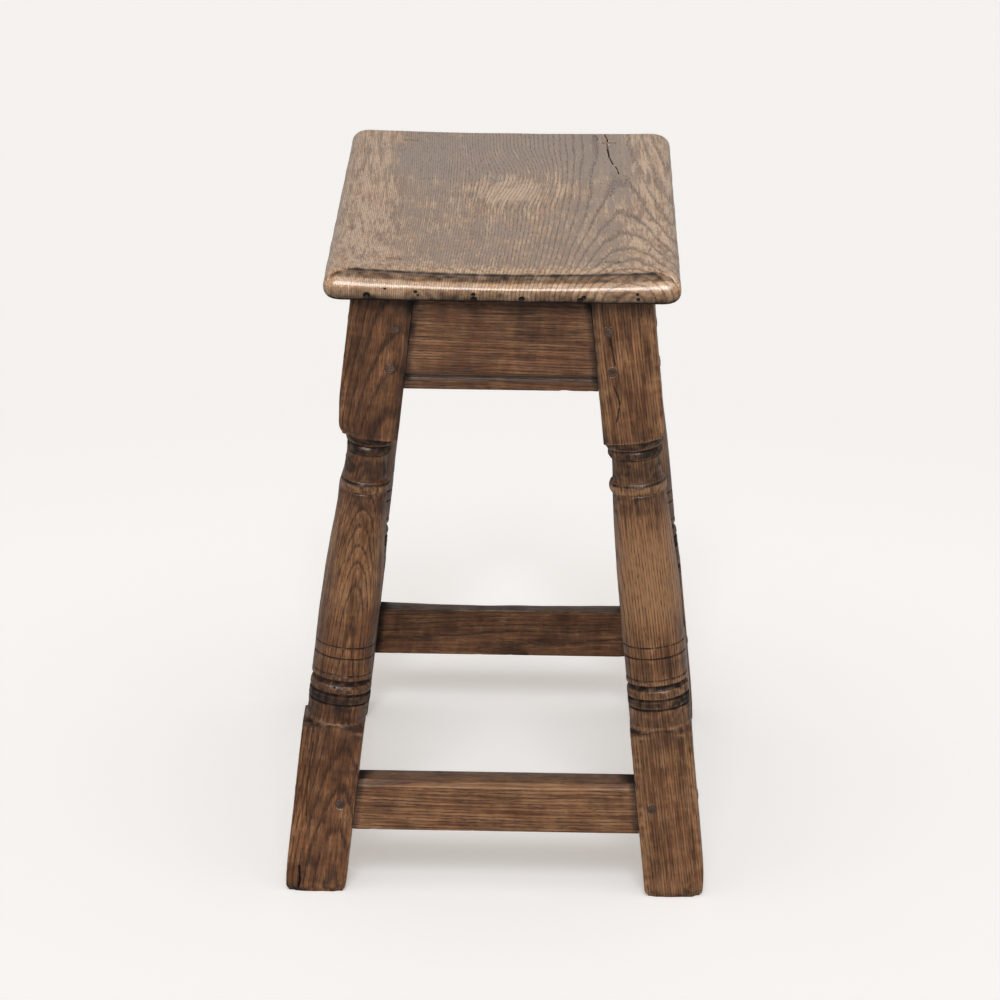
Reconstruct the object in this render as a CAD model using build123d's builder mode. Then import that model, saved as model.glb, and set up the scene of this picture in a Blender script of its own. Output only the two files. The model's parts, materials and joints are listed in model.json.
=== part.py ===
from build123d import *
from math import atan2, cos, sin, sqrt, tan
import os

# Joined stool: a moulded seat board pegged to a frame of four turned legs, with
# aprons under the seat and stretchers near the floor, all tenoned and pegged.
# Millimetres. The origin is on the floor under the middle of the seat, +Z is up,
# Y runs along the seat with the front end at -Y. The legs lean outwards in the
# end view only, so every joint between an end rail and a leg is cut on a slant.

# Overall sizes
stool_height = 540.0
seat_length = 528.0
seat_width = 286.0
seat_thickness = 26.0
frame_length = 478.0         # over the legs, along the seat
frame_width_top = 243.0      # over the legs, under the seat
frame_width_floor = 352.0    # over the feet

# Squared stock
leg_size = 51.0
rail_thickness = 26.0
rail_setback = 1.0           # rail faces behind the leg faces
apron_height = 77.0
stretcher_height = 42.0
stretcher_lift = 57.0        # floor to the underside of a stretcher
stretcher_bevel = 4.0        # upper outer edge, eased for the feet

# Mortises and tenons
tenon_thickness = 9.0
tenon_wall = 2.5             # wood left between the two mortises of a leg
apron_haunch = 14.0          # tenon kept below the top of the leg
apron_foot = 8.0             # tenon kept above the lower edge of the apron
stretcher_shoulder = 6.0     # above and below a stretcher's tenon
mortise_clearance = 0.2

# Tapered pegs through the tenons
peg_radius = 4.2
peg_tip_radius = 3.5
peg_sides = 8
peg_inset = 12.5             # from the shoulder to the middle of the peg
peg_bite = 9.0               # into the leg behind the tenon
peg_proud = 0.6              # heads out of the legs; those in the seat are worn flush
peg_clearance = 0.1
apron_peg_drop = 28.5        # upper peg below the top of the apron
apron_peg_rise = 15.0        # lower peg above the apron's lower edge

# Pegs that hold the seat down, driven into the tops of the legs
seat_peg_radius = 4.6
seat_peg_tip_radius = 4.0
seat_peg_bite = 20.0
seat_peg_wall = 2.3          # wood between the peg and the tenons
seat_peg_shift = 8.0         # further in from the side than from the end

# Thumbnail moulding round the seat, measured in from the edge and down
seat_nose_height = 11.0      # widest point above the underside
seat_under_round = 8.0
seat_mould_reach = 16.0
seat_quirk = 1.4
seat_mould_bulge = 3.6
seat_under_bulge = 2.0
seat_corner_radius = 14.0    # corners knocked round in plan
seat_corner_start = 1.0      # how far outside the edges that rounding is struck from

# Moulding run along the lower edge of each apron
mould_band = 6.0
mould_cove = 5.0
mould_depth = 2.4
mould_fillet = 1.2
mould_step = 0.9

# Turning, as heights along the leg and radii
foot_block = 145.0           # square up to here
foot_shoulder = 4.0
head_block = 396.0           # square from here up
head_shoulder = 8.2
base_height = 16.0
base_radius = 25.7
collar_radius = 24.9
collar_height = 6.5
quirk_width = 1.2
quirk_depth = 1.0
torus_height = 8.0
torus_bulge = 1.3
torus_radius = 23.5          # where the torus leaves its fillets
cove_height = 4.5
cove_depth = 1.2
fillet_height = 4.0
fillet_radius = 24.1
column_radius = 24.0
scribe_rise = 21.0           # first scribed line above the foot of the column
scribe_pitch = 9.6
scribe_width = 1.4
scribe_depth = 0.8
column_bulge = 2.0
column_top_radius = 20.6
ring_height = 11.5
ring_radius = 20.8
ring_bulge = 1.8
neck_height = 15.0
neck_low_radius = 20.1
neck_top_radius = 18.0
neck_hollow = 0.3
neck_fillet = 1.0
bead_height = 7.0
bead_radius = 19.4
bead_bulge = 1.3
head_fillet = 1.4
head_radius = 21.2
shoulder_radius = 25.2       # where the square block comes down on the turned waist
shoulder_fall = 1.8          # from the block's corners down to there
shoulder_bulge = 0.6

# What follows from the sizes above
frame_height = stool_height - seat_thickness
rake = atan2((frame_width_floor - frame_width_top) / 2, frame_height)
out_x = cos(rake)
out_z = sin(rake)
foot_x = frame_width_floor / 2 - leg_size / 2 / cos(rake)
leg_y = (frame_length - leg_size) / 2
leg_gap = frame_length - 2 * leg_size
tenon_front = rail_setback + (rail_thickness - tenon_thickness) / 2
tenon_back = tenon_front + tenon_thickness
tenon_length = leg_size - tenon_back - tenon_wall
peg_length = tenon_back + peg_bite
apron_low = frame_height - apron_height
stretcher_high = stretcher_lift + stretcher_height
corner_reach = leg_size

# The face of the front end, and sections across the right-hand side in which x
# runs out from the leg's centre line and y runs up it
front_face = Plane.XZ.offset(frame_length / 2)
side_section = Plane(origin=(foot_x, 0, 0), x_dir=(out_x, 0, out_z), z_dir=(0, -1, 0))
leg_section = Plane(origin=(foot_x, -leg_y, 0), x_dir=(out_x, 0, out_z), z_dir=(0, -1, 0))


def inner_x(height):
    # the inner face of a right-hand leg
    return frame_width_floor / 2 - leg_size / cos(rake) - height * tan(rake)


def along_leg(height, offset):
    # how far up the leg's centre line a point lies that is offset outwards from it
    return (height - offset * sin(rake)) / cos(rake)


def end_outline(low, high, reach):
    # an end rail seen from the front, reaching into the legs beyond their inner faces
    low_x = inner_x(low) + reach
    high_x = inner_x(high) + reach
    return [(-low_x, low), (low_x, low), (high_x, high), (-high_x, high)]


def side_outline(low, high, outer, thickness):
    # a side rail's section on the raked side, outer being its face from the centre line
    inner = outer - thickness
    top_outer = along_leg(high, outer)
    bottom = along_leg(low, outer)
    return [(inner, bottom), (outer, bottom), (outer, top_outer), (inner, top_outer)]


def end_tenon(low, high, growth):
    # both tenons of the front rail as one bar; grown by the clearance it cuts the mortises
    with BuildPart() as bar:
        with BuildSketch(front_face.offset(growth - tenon_front)):
            outline = end_outline(low - growth, high + growth, tenon_length + growth)
            Polygon(*outline, align=None)
        extrude(amount=-(tenon_thickness + 2 * growth))
    return bar.part


def side_tenon(low, high, growth):
    # the same for the right-hand side rail
    outer = leg_size / 2 - tenon_front + growth
    with BuildPart() as bar:
        with BuildSketch(side_section):
            outline = side_outline(low - growth, high + growth, outer, tenon_thickness + 2 * growth)
            Polygon(*outline, align=None)
        extrude(amount=leg_gap / 2 + tenon_length + growth, both=True)
    return bar.part


def end_peg_places(heights):
    # on the front faces of both front legs, pointing out of the wood
    places = []
    for height in heights:
        for side in (-1, 1):
            x = side * (inner_x(height) + peg_inset)
            places.append(Plane(origin=(x, -frame_length / 2, height), z_dir=(0, -1, 0)))
    return places


def side_peg_places(heights):
    # on the outer faces of both right-hand legs
    places = []
    for height in heights:
        rise = along_leg(height, leg_size / 2)
        for end in (-1, 1):
            x = foot_x + leg_size / 2 * out_x - rise * out_z
            y = end * (leg_gap / 2 + peg_inset)
            places.append(Plane(origin=(x, y, height), z_dir=(out_x, 0, out_z)))
    return places


def seat_peg_places():
    # on the top of the seat over the four legs
    from_end = tenon_back + mortise_clearance + seat_peg_wall + seat_peg_radius
    from_side = from_end + seat_peg_shift
    x = frame_width_top / 2 - from_side
    y = frame_length / 2 - from_end
    return [Plane(origin=(side * x, end * y, stool_height)) for side in (-1, 1) for end in (-1, 1)]


def tapered_pegs(places, radius, tip_radius, length, proud):
    # whittled pegs with their corners in round holes
    with BuildPart() as pegs:
        for place in places:
            with BuildSketch(place.offset(proud)):
                RegularPolygon(radius, peg_sides)
            with BuildSketch(place.offset(-length)):
                RegularPolygon(tip_radius, peg_sides)
            loft()
    return pegs


def run_moulding(edge, length):
    # cove and fillet along an apron, on a plane at its lower outer edge facing along the rail
    cove_top = mould_band + mould_cove
    with BuildPart() as cutter:
        with BuildSketch(edge):
            with BuildLine():
                Line((mould_depth, mould_band), (0, mould_band))
                SagittaArc((0, mould_band), (-mould_step, cove_top), mould_depth)
                Line((-mould_step, cove_top), (-mould_step, cove_top + mould_fillet))
                Line((-mould_step, cove_top + mould_fillet), (mould_depth, cove_top + mould_fillet))
                Line((mould_depth, cove_top + mould_fillet), (mould_depth, mould_band))
            make_face()
        extrude(amount=length / 2, both=True)
    return cutter.part


def turning():
    # half the turned outline, with room for the square blocks above and below
    base_start = foot_block + foot_shoulder
    base_end = base_start + base_height
    collar_start = base_end + quirk_width
    collar_end = collar_start + collar_height
    torus_start = collar_end + quirk_width
    torus_end = torus_start + torus_height
    cove_end = torus_end + cove_height
    fillet_end = cove_end + fillet_height
    column_start = fillet_end + quirk_width
    first_scribe = column_start + scribe_rise
    second_scribe = first_scribe + scribe_pitch
    shaft_start = second_scribe + scribe_width / 2
    head_start = head_block - head_shoulder
    bead_end = head_start - head_fillet
    bead_start = bead_end - bead_height
    neck_end = bead_start - neck_fillet
    neck_start = neck_end - neck_height
    ring_start = neck_start - ring_height
    groove_radius = collar_radius - quirk_depth
    cove_radius = torus_radius - cove_depth
    scribe_radius = column_radius - scribe_depth
    below = -leg_size
    above = along_leg(frame_height, -leg_size)
    with BuildSketch(leg_section) as profile:
        with BuildLine():
            foot = Polyline(
                (0, below),
                (corner_reach, below),
                (corner_reach, foot_block),
                (leg_size / 2 + foot_shoulder, foot_block),
                (base_radius, base_start),
                (collar_radius, base_end),
                (groove_radius, base_end + quirk_width / 2),
                (collar_radius, collar_start),
                (collar_radius, collar_end),
                (groove_radius, collar_end + quirk_width / 2),
                (torus_radius, torus_start),
            )
            torus = SagittaArc(foot @ 1, (torus_radius, torus_end), -torus_bulge)
            groove = Line(torus @ 1, (cove_radius, torus_end))
            cove = Line(groove @ 1, (cove_radius, cove_end))
            band = Polyline(
                cove @ 1,
                (fillet_radius, cove_end),
                (fillet_radius, fillet_end),
                (column_radius, column_start),
                (column_radius, first_scribe - scribe_width / 2),
                (scribe_radius, first_scribe),
                (column_radius, first_scribe + scribe_width / 2),
                (column_radius, second_scribe - scribe_width / 2),
                (scribe_radius, second_scribe),
                (column_radius, shaft_start),
            )
            shaft = SagittaArc(band @ 1, (column_top_radius, ring_start), -column_bulge)
            step = Line(shaft @ 1, (ring_radius, ring_start))
            ring = SagittaArc(step @ 1, (ring_radius, neck_start), -ring_bulge)
            ledge = Line(ring @ 1, (neck_low_radius, neck_start))
            neck = SagittaArc(ledge @ 1, (neck_top_radius, neck_end), neck_hollow)
            lip = Polyline(neck @ 1, (bead_radius, neck_end), (bead_radius, bead_start))
            bead = SagittaArc(lip @ 1, (bead_radius, bead_end), -bead_bulge)
            rise = Polyline(bead @ 1, (head_radius, bead_end), (head_radius, head_start))
            waist = (shoulder_radius, head_block - shoulder_fall)
            shoulder = SagittaArc(rise @ 1, waist, -shoulder_bulge)
            Polyline(
                shoulder @ 1,
                (leg_size / sqrt(2), head_block),
                (corner_reach, head_block),
                (corner_reach, above),
                (0, above),
                (0, below),
            )
        make_face()
    return profile.sketch


def corner_leg(mortises, peg_places):
    # the front right-hand leg: squared, turned between the blocks, cut level and mortised
    turned = turning()
    axis = Axis(leg_section.origin, leg_section.y_dir)
    blank_height = along_leg(frame_height, -leg_size)
    with BuildPart() as leg:
        with BuildSketch(leg_section):
            Rectangle(leg_size, 2 * blank_height)
        extrude(amount=leg_size / 2, both=True)
        revolve(turned, axis=axis, mode=Mode.INTERSECT)
        split(bisect_by=Plane.XY, keep=Keep.TOP)
        split(bisect_by=Plane.XY.offset(frame_height), keep=Keep.BOTTOM)
        for mortise in mortises:
            add(mortise, mode=Mode.SUBTRACT)
        with Locations(*peg_places):
            Hole(peg_radius + peg_clearance, depth=peg_length + peg_clearance)
        with Locations(*seat_peg_places()):
            Hole(seat_peg_radius + peg_clearance, depth=seat_thickness + seat_peg_bite + peg_clearance)
    return leg


def end_rail(low, high, tenon, places):
    # the front rail, its shoulders cut on the slant of the legs
    with BuildPart() as rail:
        with BuildSketch(front_face.offset(-rail_setback)):
            Polygon(*end_outline(low, high, 0), align=None)
        extrude(amount=-rail_thickness)
        add(tenon)
        with Locations(*places):
            Hole(peg_radius + peg_clearance, depth=peg_length + peg_clearance)
    return rail


def side_rail(low, high, tenon, places):
    # the right-hand rail, leaning with the legs
    with BuildPart() as rail:
        with BuildSketch(side_section):
            outline = side_outline(low, high, leg_size / 2 - rail_setback, rail_thickness)
            Polygon(*outline, align=None)
        extrude(amount=leg_gap / 2, both=True)
        add(tenon)
        with Locations(*places):
            Hole(peg_radius + peg_clearance, depth=peg_length + peg_clearance)
    return rail


def moulded(apron, edge, length):
    # an apron with the run moulding cut and its top planed level with the legs
    cutter = run_moulding(edge, length)
    with BuildPart() as piece:
        add(apron.part)
        add(cutter, mode=Mode.SUBTRACT)
        split(bisect_by=Plane.XY.offset(frame_height), keep=Keep.BOTTOM)
    return piece


def eased(stretcher, along, outward):
    # a stretcher with its upper outer edge bevelled
    with BuildPart() as piece:
        add(stretcher.part)
        top = piece.edges().filter_by(along).group_by(Axis.Z)[-1]
        chamfer(top.sort_by(outward)[-1], length=stretcher_bevel)
    return piece


def seat_section(half):
    # right-hand half of the seat's section: rolled underside, thumbnail, quirk and top
    nose = frame_height + seat_nose_height
    quirk = stool_height - seat_quirk
    with BuildLine() as line:
        under = Line((0, frame_height), (half - seat_under_round, frame_height))
        roll = SagittaArc(under @ 1, (half, nose), -seat_under_bulge)
        thumb = SagittaArc(roll @ 1, (half - seat_mould_reach, quirk), -seat_mould_bulge)
        Polyline(thumb @ 1, (half - seat_mould_reach, stool_height), (0, stool_height))
        mirror(about=Plane.YZ)
    return line.line


def moulded_seat():
    # the two sections run through each other, so the mouldings meet in mitres
    across = seat_section(seat_width / 2)
    lengthways = seat_section(seat_length / 2)
    with BuildPart() as seat:
        with BuildSketch(Plane.XZ):
            add(across)
            make_face()
        extrude(amount=seat_length / 2, both=True)
        with BuildSketch(Plane.YZ):
            add(lengthways)
            make_face()
        extrude(amount=seat_width / 2, both=True, mode=Mode.INTERSECT)
        with BuildSketch():
            around = 2 * seat_corner_start
            RectangleRounded(seat_width + around, seat_length + around, seat_corner_radius)
        extrude(amount=stool_height, mode=Mode.INTERSECT)
        with Locations(*seat_peg_places()):
            Hole(seat_peg_radius + peg_clearance)
    return seat


def mirrored(piece, about):
    with BuildPart() as copy:
        mirror(piece.part, about=about)
    return copy


# Tenon heights and pegs
apron_tenon = (apron_low + apron_foot, frame_height - apron_haunch)
stretcher_tenon = (stretcher_lift + stretcher_shoulder, stretcher_high - stretcher_shoulder)
apron_pegs = (apron_low + apron_peg_rise, frame_height - apron_peg_drop)
stretcher_pegs = ((stretcher_lift + stretcher_high) / 2,)

mortises = []
for heights in (apron_tenon, stretcher_tenon):
    mortises.append(end_tenon(*heights, mortise_clearance))
    mortises.append(side_tenon(*heights, mortise_clearance))
all_pegs = apron_pegs + stretcher_pegs
leg_places = end_peg_places(all_pegs) + side_peg_places(all_pegs)

# The pieces of the front end and the right-hand side
rail_face = leg_size / 2 - rail_setback
front_edge = Plane(
    origin=(0, rail_setback - frame_length / 2, apron_low), x_dir=(0, -1, 0), z_dir=(-1, 0, 0)
)
side_edge = Plane(
    origin=side_section.from_local_coords(Vector(rail_face, along_leg(apron_low, rail_face))),
    x_dir=side_section.x_dir,
    z_dir=side_section.z_dir,
)

front_right_leg = corner_leg(mortises, leg_places)
front_apron = end_rail(apron_low, frame_height, end_tenon(*apron_tenon, 0), end_peg_places(apron_pegs))
front_apron = moulded(front_apron, front_edge, frame_width_floor)
apron_top = frame_height + rail_thickness * tan(rake)
right_apron = side_rail(apron_low, apron_top, side_tenon(*apron_tenon, 0), side_peg_places(apron_pegs))
right_apron = moulded(right_apron, side_edge, frame_length)
front_stretcher = end_rail(
    stretcher_lift, stretcher_high, end_tenon(*stretcher_tenon, 0), end_peg_places(stretcher_pegs)
)
front_stretcher = eased(front_stretcher, Axis.X, -Axis.Y)
right_stretcher = side_rail(
    stretcher_lift, stretcher_high, side_tenon(*stretcher_tenon, 0), side_peg_places(stretcher_pegs)
)
right_stretcher = eased(right_stretcher, Axis.Y, Axis.X)

pegs = (peg_radius, peg_tip_radius, peg_length, peg_proud)
front_apron_pegs = tapered_pegs(end_peg_places(apron_pegs), *pegs)
right_apron_pegs = tapered_pegs(side_peg_places(apron_pegs), *pegs)
front_stretcher_pegs = tapered_pegs(end_peg_places(stretcher_pegs), *pegs)
right_stretcher_pegs = tapered_pegs(side_peg_places(stretcher_pegs), *pegs)
seat_pegs = tapered_pegs(
    seat_peg_places(), seat_peg_radius, seat_peg_tip_radius, seat_thickness + seat_peg_bite, 0
)

# The rest of the frame is the mirror image of these
back_right_leg = mirrored(front_right_leg, Plane.XZ)
pieces = {
    "seat_top": moulded_seat(),
    "front_right_leg": front_right_leg,
    "back_right_leg": back_right_leg,
    "front_left_leg": mirrored(front_right_leg, Plane.YZ),
    "back_left_leg": mirrored(back_right_leg, Plane.YZ),
    "front_apron": front_apron,
    "back_apron": mirrored(front_apron, Plane.XZ),
    "right_apron": right_apron,
    "left_apron": mirrored(right_apron, Plane.YZ),
    "front_stretcher": front_stretcher,
    "back_stretcher": mirrored(front_stretcher, Plane.XZ),
    "right_stretcher": right_stretcher,
    "left_stretcher": mirrored(right_stretcher, Plane.YZ),
    "front_apron_pegs": front_apron_pegs,
    "back_apron_pegs": mirrored(front_apron_pegs, Plane.XZ),
    "right_apron_pegs": right_apron_pegs,
    "left_apron_pegs": mirrored(right_apron_pegs, Plane.YZ),
    "front_stretcher_pegs": front_stretcher_pegs,
    "back_stretcher_pegs": mirrored(front_stretcher_pegs, Plane.XZ),
    "right_stretcher_pegs": right_stretcher_pegs,
    "left_stretcher_pegs": mirrored(right_stretcher_pegs, Plane.YZ),
    "seat_pegs": seat_pegs,
}

os.makedirs("parts", exist_ok=True)
for name, piece in pieces.items():
    piece.part.label = name
    export_step(piece.part, f"parts/{name}.step")
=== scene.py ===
import json
from math import atan2, ceil, cos, exp, hypot, pi, radians, sin, sqrt

import bmesh
import bpy
from mathutils import Matrix, Vector, noise

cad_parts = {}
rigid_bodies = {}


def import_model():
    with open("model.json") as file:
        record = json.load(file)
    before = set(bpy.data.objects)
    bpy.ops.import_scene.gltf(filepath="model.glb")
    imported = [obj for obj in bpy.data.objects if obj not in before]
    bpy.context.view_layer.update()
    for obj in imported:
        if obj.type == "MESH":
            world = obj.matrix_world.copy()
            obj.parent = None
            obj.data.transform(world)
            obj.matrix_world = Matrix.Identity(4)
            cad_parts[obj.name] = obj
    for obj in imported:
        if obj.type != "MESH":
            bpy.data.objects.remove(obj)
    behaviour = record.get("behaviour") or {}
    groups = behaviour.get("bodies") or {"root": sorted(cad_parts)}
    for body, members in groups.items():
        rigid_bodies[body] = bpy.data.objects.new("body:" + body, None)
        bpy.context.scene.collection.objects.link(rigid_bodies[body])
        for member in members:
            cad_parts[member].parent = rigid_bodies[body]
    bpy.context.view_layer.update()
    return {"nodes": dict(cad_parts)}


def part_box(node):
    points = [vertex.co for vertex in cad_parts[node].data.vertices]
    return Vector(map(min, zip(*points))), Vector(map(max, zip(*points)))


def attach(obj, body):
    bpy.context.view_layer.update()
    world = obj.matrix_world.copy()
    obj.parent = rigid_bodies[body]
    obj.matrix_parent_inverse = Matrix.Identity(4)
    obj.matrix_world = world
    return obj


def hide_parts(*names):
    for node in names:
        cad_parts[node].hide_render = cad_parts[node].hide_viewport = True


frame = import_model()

print("frame loaded,", len(frame["nodes"]), "nodes")

# Shapes are worked in millimetres and made metres when a piece is finished
mm = 0.001


def nodeBox(name):
    low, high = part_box(name)
    return low / mm, high / mm


# The main sizes come from the frame: the seat, the raked legs and the rails between them
seatLow, seatHigh = nodeBox("seat_top")
legLow, legHigh = nodeBox("front_right_leg")
apronLow, apronHigh = nodeBox("front_apron")
railLow, railHigh = nodeBox("front_stretcher")
frameTop = seatLow.z
legSize = legHigh.y - legLow.y
legHalf = legSize / 2
legY = -(legLow.y + legHigh.y) / 2
railDepth = apronHigh.y - apronLow.y
railSetback = apronLow.y - legLow.y
rake = 0.0
for step in range(12):
    rake = atan2(legHigh.x - legLow.x - legSize / cos(rake), frameTop)
footX = legHigh.x - legHalf / cos(rake)
corners = {
    "front_left": (-1, -1),
    "front_right": (1, -1),
    "back_left": (-1, 1),
    "back_right": (1, 1),
}


def lump(point, size, seed=0.0):
    # smooth noise, about -1 to 1, its lumps size across
    return noise.noise(Vector(point) / size + Vector((seed, 0.7 * seed, -seed)))


def clamp(value, low=0.0, high=1.0):
    return max(low, min(high, value))


def ramp(value, start, end):
    # 0 at start, 1 at end, eased between
    t = clamp((value - start) / (end - start))
    return t * t * (3 - 2 * t)


def legPoint(corner, out, along, rise):
    # out points away from the stool's middle, along towards its end, rise up the leg
    x = footX + out * cos(rake) - rise * sin(rake)
    z = out * sin(rake) + rise * cos(rake)
    return Vector((corner[0] * x, corner[1] * (legY + along), z))


def legLocal(corner, point):
    x = point.x * corner[0] - footX
    out = x * cos(rake) + point.z * sin(rake)
    rise = -x * sin(rake) + point.z * cos(rake)
    return out, point.y * corner[1] - legY, rise


def innerX(z):
    # the inner face of a right-hand leg at a height above the floor
    return footX - (legHalf + z * sin(rake)) / cos(rake)


def along(steps, place):
    # a value read off a line of (place, value) pairs
    for (start, low), (end, high) in zip(steps, steps[1:]):
        if place <= end:
            return low + (high - low) * clamp((place - start) / (end - start))
    return steps[-1][1]


def refine(bm, centre, reach, cuts=1):
    # finer faces round a spot, so that small things have a real shape
    near = {v for v in bm.verts if (v.co - centre).length < reach}
    edges = [e for e in bm.edges if e.verts[0] in near and e.verts[1] in near]
    bmesh.ops.subdivide_edges(bm, edges=edges, cuts=cuts, use_grid_fill=True)


def refineAlong(bm, start, end, reach):
    # the same along a line
    line = end - start
    near = set()
    for v in bm.verts:
        t = clamp((v.co - start).dot(line) / line.length_squared)
        if (v.co - start - line * t).length < reach:
            near.add(v)
    edges = [e for e in bm.edges if e.verts[0] in near and e.verts[1] in near]
    bmesh.ops.subdivide_edges(bm, edges=edges, cuts=1, use_grid_fill=True)


def unitTube(rings, segments):
    # a grid rolled up and joined: unit radius, one ring of vertices for each step in height
    bm = bmesh.new()
    bmesh.ops.create_grid(bm, x_segments=segments, y_segments=rings - 1, size=1)
    for v in bm.verts:
        turn = pi * (v.co.x + 1)
        v.co = (cos(turn), sin(turn), round((v.co.y + 1) / 2 * (rings - 1)))
    seam = [v for v in bm.verts if v.is_boundary and abs(v.co.y) < 0.001 and v.co.x > 0]
    bmesh.ops.remove_doubles(bm, verts=seam, dist=0.001)
    for end in (0, rings - 1):
        rim = [e for e in bm.edges if e.is_boundary and abs(e.verts[0].co.z - end) < 0.5]
        for face in bmesh.ops.contextual_create(bm, geom=rim)["faces"]:
            for edge in face.edges:
                edge.smooth = False
    return bm


def carve(bm, cuts):
    # each cut is a run of points with a width and a depth; returns how dark each vertex gets
    bm.normal_update()
    dark = {}
    moves = {}
    for cut in cuts:
        points = cut["points"]
        width = cut["width"]
        middle = sum(points, Vector()) / len(points)
        reach = max((p - middle).length for p in points) + 2 * width
        near = [v for v in bm.verts if (v.co - middle).length < reach]
        for start, end in zip(points, points[1:] or points):
            line = end - start
            for v in near:
                t = clamp((v.co - start).dot(line) / max(line.length_squared, 1e-9))
                away = (v.co - start - line * t).length / width
                if away < 1:
                    moves[v] = max(moves.get(v, 0), cut["depth"] * (1 - away * away))
                if away < 1.2:
                    dark[v] = max(dark.get(v, 0), cut.get("dark", 1) * (1 - ramp(away, 0.55, 1.2)))
    for v, deep in moves.items():
        v.co -= v.normal * deep
    return dark


def ringCut(centre, normal, radius, width, depth, cuts):
    # a round groove, as the edge of a peg hole
    side = normal.orthogonal().normalized()
    other = normal.cross(side)
    steps = 20
    points = []
    for i in range(steps + 1):
        turn = 2 * pi * i / steps
        points.append(centre + (side * cos(turn) + other * sin(turn)) * radius)
    cuts.append({"points": points, "width": width, "depth": depth, "dark": 0.6})


def finishPiece(name, bm, material, nodeName):
    # metres, normals outwards, one object at the origin that stands for its node
    bmesh.ops.recalc_face_normals(bm, faces=bm.faces)
    bmesh.ops.scale(bm, vec=(mm, mm, mm), verts=bm.verts)
    mesh = bpy.data.meshes.new(name)
    bm.to_mesh(mesh)
    bm.free()
    mesh.materials.append(material)
    piece = bpy.data.objects.new(name, mesh)
    bpy.context.scene.collection.objects.link(piece)
    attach(piece, "root")
    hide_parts(nodeName)
    return piece


def finishLayers(bm):
    # what the oak reads: where a point lies in the tree, how dirty, rubbed and bloomed it is
    return (
        bm.verts.layers.float_vector.new("grain"),
        bm.verts.layers.float.new("grime"),
        bm.verts.layers.float.new("rubbed"),
        bm.verts.layers.float.new("bloom"),
    )


viewpoint = {
    "place": (46.255, -3881.495, 1462.485),
    "yaw": -0.01262,
    "pitch": -0.298,
    "roll": 0.0122,
    "lens": 169.2,
    "sensor": 36,
}


def makeCamera():
    yaw, pitch, roll = viewpoint["yaw"], viewpoint["pitch"], viewpoint["roll"]
    ahead = Vector((sin(yaw) * cos(pitch), cos(yaw) * cos(pitch), sin(pitch)))
    level = Vector((cos(yaw), -sin(yaw), 0))
    upright = level.cross(ahead)
    right = level * cos(roll) + upright * sin(roll)
    up = upright * cos(roll) - level * sin(roll)
    data = bpy.data.cameras.new("camera")
    data.sensor_width = viewpoint["sensor"]
    data.lens = viewpoint["lens"]
    data.clip_end = 100
    camera = bpy.data.objects.new("camera", data)
    turn = Matrix((right, up, -ahead)).transposed().to_4x4()
    camera.matrix_world = Matrix.Translation(Vector(viewpoint["place"]) * mm) @ turn
    bpy.context.scene.collection.objects.link(camera)
    bpy.context.scene.camera = camera


makeCamera()
print("camera set")


class Shading:
    # short names for the nodes of one material
    def __init__(self, name):
        self.material = bpy.data.materials.new(name)
        self.material.use_nodes = True
        self.tree = self.material.node_tree
        self.shader = self.tree.nodes["Principled BSDF"]

    def put(self, socket, value):
        if isinstance(value, bpy.types.NodeSocket):
            self.tree.links.new(value, socket)
        else:
            socket.default_value = value

    def attribute(self, name, output="Fac"):
        node = self.tree.nodes.new("ShaderNodeAttribute")
        node.attribute_name = name
        return node.outputs[output]

    def math(self, operation, first, second=0.0, clamped=False):
        node = self.tree.nodes.new("ShaderNodeMath")
        node.operation = operation
        node.use_clamp = clamped
        self.put(node.inputs[0], first)
        self.put(node.inputs[1], second)
        return node.outputs[0]

    def vector(self, operation, first, second=(0, 0, 0)):
        node = self.tree.nodes.new("ShaderNodeVectorMath")
        node.operation = operation
        self.put(node.inputs[0], first)
        self.put(node.inputs[1], second)
        return node.outputs[0]

    def noise(self, vector, scale=1.0, detail=2.0, roughness=0.5, output="Fac"):
        node = self.tree.nodes.new("ShaderNodeTexNoise")
        self.put(node.inputs["Vector"], vector)
        self.put(node.inputs["Scale"], scale)
        self.put(node.inputs["Detail"], detail)
        self.put(node.inputs["Roughness"], roughness)
        return node.outputs[output]

    def combine(self, x, y, z):
        node = self.tree.nodes.new("ShaderNodeCombineXYZ")
        for socket, value in zip(node.inputs, (x, y, z)):
            self.put(socket, value)
        return node.outputs[0]

    def separate(self, vector):
        node = self.tree.nodes.new("ShaderNodeSeparateXYZ")
        self.put(node.inputs[0], vector)
        return node.outputs

    def spread(self, value, low, high, toLow=0.0, toHigh=1.0):
        node = self.tree.nodes.new("ShaderNodeMapRange")
        node.interpolation_type = "SMOOTHSTEP"
        for socket, number in zip(node.inputs, (value, low, high, toLow, toHigh)):
            self.put(socket, number)
        return node.outputs[0]

    def ramp(self, value, stops):
        node = self.tree.nodes.new("ShaderNodeValToRGB")
        bar = node.color_ramp.elements
        while len(bar) < len(stops):
            bar.new(0.5)
        for element, (place, colour) in zip(bar, stops):
            element.position = place
            element.color = (*colour, 1)
        self.put(node.inputs[0], value)
        return node.outputs[0]

    def mix(self, share, first, second, blend="MIX"):
        node = self.tree.nodes.new("ShaderNodeMix")
        node.data_type = "RGBA"
        node.blend_type = blend
        self.put(node.inputs[0], share)
        for socket, value in ((node.inputs[6], first), (node.inputs[7], second)):
            self.put(socket, (*value, 1) if isinstance(value, tuple) else value)
        return node.outputs[2]


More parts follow.
